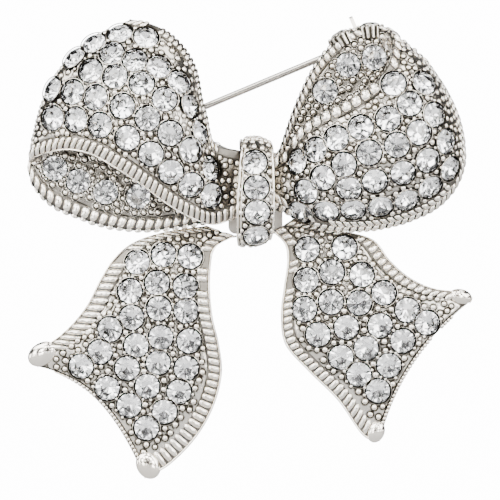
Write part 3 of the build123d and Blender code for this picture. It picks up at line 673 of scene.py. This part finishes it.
def trim(name, mesh, sheet):
    """The ribs, beads and smooth lips cast along each ribbon's edges."""
    if name == "left_loop_front":
        rib_row(mesh, sheet, "a", band=1.5, pitch=0.74, height=0.34)
        ridge(mesh, sheet, "a", inward=0.06, radius=0.12)
        rib_row(mesh, sheet, "b", band=1.15, pitch=0.66, height=0.26, start=0.12)
        rib_row(mesh, sheet, "end", band=0.85, pitch=0.55, height=0.24)
    elif name == "left_loop_back":
        rib_row(mesh, sheet, "a", band=1.4, pitch=1.05, height=0.40, fill=0.46)
        rib_row(mesh, sheet, "a", band=-1.1, pitch=1.05, height=0.30, inset=-0.10, fill=0.44)
    elif name == "right_loop_front":
        rib_row(mesh, sheet, "a", band=1.35, pitch=1.16, height=0.50, fill=0.49)
        rib_row(mesh, sheet, "a", band=-1.0, pitch=0.58, height=0.16, inset=0.2)
        rib_row(mesh, sheet, "b", band=0.95, pitch=0.82, height=0.28, slant=0.5)
        rib_row(mesh, sheet, "b", band=0.95, pitch=0.82, height=0.28, inset=1.02, slant=-0.5)
        rib_row(mesh, sheet, "b", band=-1.1, pitch=0.82, height=0.24, inset=0.0, slant=0.5)
    elif name == "right_loop_back":
        rib_row(mesh, sheet, "a", band=0.95, pitch=0.86, height=0.34)
        rib_row(mesh, sheet, "a", band=-0.9, pitch=0.86, height=0.24, inset=-0.05)
        rib_row(mesh, sheet, "b", band=0.8, pitch=0.9, height=0.22)
    elif name == "left_tail":
        rib_row(mesh, sheet, "a", band=1.8, pitch=0.88, height=0.34, inset=0.10, end=0.88, flare=0.5)
        ridge(mesh, sheet, "a", inward=0.05, radius=0.13)
        rib_row(mesh, sheet, "b", band=1.3, pitch=0.85, height=0.30, inset=0.26, end=0.93, flare=0.55)
        ridge(mesh, sheet, "b", inward=0.10, radius=0.15)
        rib_row(mesh, sheet, "end", band=0.42, pitch=0.46, height=0.20, start=0.12, end=0.88)
        lip(mesh, sheet, "a", near=(2.1, 0.95), far=(4.6, 0.95), length=1.75, width=1.25)
        lip(mesh, sheet, "b", near=(1.05, 1.15), far=(1.05, 2.6), length=1.6, width=1.3)
    elif name == "right_tail":
        rib_row(mesh, sheet, "a", band=1.1, pitch=0.8, height=0.30, inset=0.26, flare=0.6, end=0.97)
        ridge(mesh, sheet, "a", inward=0.10, radius=0.15)
        slanted = {"inset": 0.26, "slant": 0.4, "end": 0.90, "flare": 0.4}
        rib_row(mesh, sheet, "b", band=1.25, pitch=0.85, height=0.32, **slanted)
        ridge(mesh, sheet, "b", inward=0.10, radius=0.15)
        rib_row(mesh, sheet, "end", band=0.42, pitch=0.46, height=0.20, start=0.08, end=0.86)
        lip(mesh, sheet, "b", near=(1.5, 0.7), far=(3.2, 0.7), length=1.3, width=0.85)
        lip(mesh, sheet, "a", near=(0.75, 1.0), far=(0.75, 2.4), length=1.25, width=0.95)
    elif name == "knot_band":
        ridge(mesh, sheet, "a", inward=0.12, radius=0.15, height=0.03)
        ridge(mesh, sheet, "a", inward=0.50, radius=0.10, height=0.03)
        ridge(mesh, sheet, "b", inward=0.14, radius=0.15, height=0.03)
        for u, count in ((0.10, 5), (0.155, 6), (0.21, 5)):  # the beads over the knot's top
            for k in range(count):
                at = np.array(u), np.array(0.16 + 0.68 * (k + 0.5) / count)
                dome(mesh, sheet.point(*at), sheet.normal(*at), radius=0.26, height=0.24)


LIP_SINK = 0.12  # a lip's middle lies this far under the face
LIP_RISE, LIP_DROP = 0.62, 1.2  # its height over that middle, and its depth under it


def lip(mesh, sheet, edge, near, far, length, width):
    """The smooth, polished swelling where a border ends in a tip.

    Near is its middle and far is a place behind it. Both are given as distances back from the edge's
    end and in from the edge.
    """
    table, _ = sheet.edge_table(edge)
    runs = [table[-1] - near[0], table[-1] - far[0]]
    inward = np.array([near[1], far[1]])
    anchor, back = sheet.place(edge, runs, inward, np.full(2, -LIP_SINK))
    above = sheet.place(edge, runs, inward, np.ones(2))[0]
    along = unit(anchor - back)
    normal = unit(above - anchor)
    normal = unit(normal - along * (normal @ along))
    across = np.cross(normal, along)
    turns = np.linspace(0, 2 * np.pi, 32, endpoint=False)
    rises = np.radians(np.linspace(-80, 86, 13))
    points = []
    for rise in rises:
        tall = LIP_RISE if rise > 0 else LIP_DROP
        middle = anchor + normal * tall * math.sin(rise)
        for turn in turns:
            out = along * length * math.cos(turn) + across * width * math.sin(turn)
            points.append(middle + out * math.cos(rise))
    mesh.add(points, capped(len(rises), len(turns)))


# A rim cup's radius and height over its stone's girdle, from its foot to inside its mouth.
CUP_OUTLINE = [
    (0.95, -1.42),
    (1.30, -1.30),
    (1.42, -0.55),
    (1.50, -0.20),
    (1.50, 0.0),
    (1.36, 0.08),
    (1.33, -0.3),
]
CUP_FLUTES = 14
CUP_FLUTE_DEPTH = 0.10
CUP_BEAD_CIRCLE = 1.38


def rim_cup(mesh, centre, axis):
    """A fluted cup round a rim stone, with beads over its edge."""
    e1 = unit(np.cross(np.array([0.0, 1.0, 0.0]), axis))
    e2 = np.cross(axis, e1)
    turns = np.linspace(0, 2 * np.pi, 6 * CUP_FLUTES, endpoint=False)
    points, dark = [], []
    for radius, height in CUP_OUTLINE:
        for turn in turns:
            flute = CUP_FLUTE_DEPTH * (1 - abs(math.cos(CUP_FLUTES / 2 * turn)))
            out = math.cos(turn) * e1 + math.sin(turn) * e2
            points.append(centre + axis * height + (radius - flute) * out)
            # Painted shade in the flutes of the cup's side, and a light painted shade over its mouth.
            dark.append(min(flute / 0.05, 1.0) if height < 0 else 0.3)
    foot = tuple(range(len(turns)))[::-1]
    mesh.add(points, quads(len(CUP_OUTLINE), len(turns), closed=True) + [foot], dark)
    for turn in np.linspace(0, 2 * np.pi, CUP_FLUTES // 2, endpoint=False):
        place = centre + CUP_BEAD_CIRCLE * (math.cos(turn) * e1 + math.sin(turn) * e2)
        dome(mesh, place, axis, radius=0.22, height=0.24)


BEAD_HEIGHT = 0.8  # of its radius
SETTING_GAP = 0.19  # between a stone and the middle of the ring cast round it
SETTING_TUBE = 0.065
BEAD_RING_GAP = 0.13
BEAD_RING_TUBE = 0.055
GIRDLE_LIFT = 0.1  # from a girdle up to the metal's face

for name, (stations, thickness, bands, patina_and_shade) in SHEETS.items():
    sheet = Sheet(stations)
    casting = Mesh()
    set_stones = []
    for node in sorted(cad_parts):
        if not node.startswith(name + "_stones_"):
            continue
        cut = Mesh()
        for points in islands(node):
            centre, axis = stone_place(points)
            cut_stone(cut, centre, axis)
            if node == "right_loop_back_stones_2":
                rim_cup(casting, centre, axis)
            else:
                set_stones.append((centre + axis * GIRDLE_LIFT, axis))
        stones = cut.build(node + "_cut", [GLASS, FOIL], flat=True)
        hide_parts(node)
        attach(stones, "bow")
    sheet.stones = np.array([centre for centre, _ in set_stones])
    beads = bead_places(sheet, set_stones, bands)
    shell(casting, sheet, thickness, set_stones, beads, bands, patina_and_shade)
    for place, normal, size in beads:
        dome(casting, place, normal, size, size * BEAD_HEIGHT)
        if name.endswith("_back"):
            hoop(casting, place, normal, size + BEAD_RING_GAP, BEAD_RING_TUBE, sides=14)
    for centre, axis in set_stones:
        hoop(casting, centre, axis, STONE_RADIUS + SETTING_GAP, SETTING_TUBE, lift=-0.01)
    trim(name, casting, sheet)
    made = casting.build(name + "_cast", [PLATED, ROUGH_BACK])
    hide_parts(name)
    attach(made, "bow")

# ---- Findings and plates, as the frame has them ---------------------------------------------
for node, look in (
    ("knot_core", PLATED),
    ("knot_back_plate", ROUGH_BACK),
    ("hinge_bracket", STEEL),
    ("hinge_rivet", STEEL),
    ("pin_stem", STEEL),
    ("catch_housing", STEEL),
    ("catch_rotor", STEEL),
):
    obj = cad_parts[node]
    obj.data.materials.clear()
    obj.data.materials.append(look)

# ---- Studio -----------------------------------------------------------------------------------
centre = Vector((0.0, -0.005, -0.017985))  # the middle of the picture
FRAME_WIDTH = 0.055  # the width that the picture shows
CAMERA_DISTANCE = 0.6
SENSOR_WIDTH = 36.0
FLOOR_HEIGHT = -110
FLOOR_REACH = 1000
BACKDROP_REACH = 150
BACKDROP_BACK = 1150
BACKDROP_FOOT = FLOOR_HEIGHT + 5


def rectangle(width, height):
    """The corners of an upright card round the origin, facing +Z."""
    return [(-width, -height, 0), (width, -height, 0), (width, height, 0), (-width, height, 0)]


def glowing(name, colour, strength):
    """A material that gives light; lit cards and the backdrop share it."""
    made, _, shader = material(name)
    shader.inputs["Emission Color"].default_value = (*colour, 1)
    shader.inputs["Emission Strength"].default_value = strength
    return made, shader


def card(name, place, width, height, brightness):
    """A softbox that the metal and stones mirror; it isn't seen directly."""
    made, shader = glowing(name, (1.0, 0.985, 0.96), brightness)
    shader.inputs["Base Color"].default_value = (0.02, 0.02, 0.02, 1)
    shader.inputs["Roughness"].default_value = 1.0
    shader.inputs["Specular IOR Level"].default_value = 0.0
    data = bpy.data.meshes.new(name)
    data.from_pydata(rectangle(width, height), [], [(0, 1, 2, 3)])
    data.materials.append(made)
    obj = bpy.data.objects.new(name, data)
    bpy.context.scene.collection.objects.link(obj)
    obj.location = Vector(place)
    obj.rotation_euler = (centre - Vector(place)).to_track_quat("Z", "Y").to_euler()
    obj.visible_camera = False
    obj.visible_diffuse = False
    obj.visible_shadow = False


def lamp(name, place, size, power):
    """A square area lamp aimed at the brooch."""
    data = bpy.data.lights.new(name, "AREA")
    data.shape = "SQUARE"
    data.size = size
    data.energy = power
    obj = bpy.data.objects.new(name, data)
    obj.location = Vector(place)
    obj.rotation_euler = (centre - Vector(place)).to_track_quat("-Z", "Y").to_euler()
    bpy.context.scene.collection.objects.link(obj)


camera_data = bpy.data.cameras.new("camera")
camera_data.sensor_width = SENSOR_WIDTH
camera_data.lens = SENSOR_WIDTH * CAMERA_DISTANCE / FRAME_WIDTH
camera_data.clip_start = 0.01
camera_data.clip_end = 10.0
camera = bpy.data.objects.new("camera", camera_data)
camera.location = centre + Vector((0, -CAMERA_DISTANCE, 0))
camera.rotation_euler = (math.pi / 2, 0, 0)
bpy.context.scene.collection.objects.link(camera)
bpy.context.scene.camera = camera

floor_mesh = Mesh()
floor_mesh.add([(x, y, FLOOR_HEIGHT) for x, y, _ in rectangle(FLOOR_REACH, FLOOR_REACH)], [(0, 1, 2, 3)])
floor_look, _, floor_shader = material("pale_floor")
floor_shader.inputs["Base Color"].default_value = (0.93, 0.93, 0.93, 1)
floor_shader.inputs["Roughness"].default_value = 0.7
floor = floor_mesh.build("floor", [floor_look], flat=True)

# Rings of softboxes round the line of sight. The gaps between them are what the facets show as dark.
SOFTBOX_DISTANCE = 0.45
# Degrees off the line of sight, number, the first one's turn, half width, half height, and strength.
SOFTBOX_RINGS = (
    (12, 5, 0.1, 0.022, 0.022, 9.0),
    (27, 9, 0.2, 0.042, 0.05, 17.0),
    (52, 11, 0.3, 0.060, 0.085, 12.0),
    (80, 9, 0.6, 0.085, 0.07, 8.0),
)
for ring, (spread, count, turn, width, height, brightness) in enumerate(SOFTBOX_RINGS):
    for number in range(count):
        off, around = math.radians(spread), 2 * math.pi * (number + turn) / count
        place = (
            centre.x + SOFTBOX_DISTANCE * math.sin(off) * math.cos(around),
            centre.y - SOFTBOX_DISTANCE * math.cos(off),
            centre.z + SOFTBOX_DISTANCE * math.sin(off) * math.sin(around),
        )
        card(f"softbox_{ring}_{number}", place, width, height, brightness)

backdrop_look, backdrop_shader = glowing("lit_backdrop", (1, 1, 1), 14.0)
backdrop_shader.inputs["Base Color"].default_value = (1, 1, 1, 1)
backdrop_middle = (BACKDROP_REACH + BACKDROP_FOOT) / 2
backdrop_half = (BACKDROP_REACH - BACKDROP_FOOT) / 2
backdrop_card = rectangle(BACKDROP_REACH, backdrop_half)
backdrop_mesh = Mesh()
backdrop_mesh.add([(x, BACKDROP_BACK, backdrop_middle + z) for x, z, _ in backdrop_card], [(0, 1, 2, 3)])
backdrop = backdrop_mesh.build("backdrop", [backdrop_look], flat=True)

lamp("key", (-0.40, -0.42, 0.42), size=0.42, power=6.5)
lamp("fill", (0.48, -0.40, 0.20), size=0.36, power=3.4)
lamp("low", (0.10, -0.50, -0.42), size=0.30, power=1.6)
lamp("rear", (0.1, 0.5, 0.4), size=0.3, power=2.0)

world = bpy.data.worlds.new("world")
bpy.context.scene.world = world
world.use_nodes = True
background = world.node_tree.nodes["Background"]
background.inputs["Color"].default_value = (1.0, 1.0, 1.0, 1)
background.inputs["Strength"].default_value = 0.17
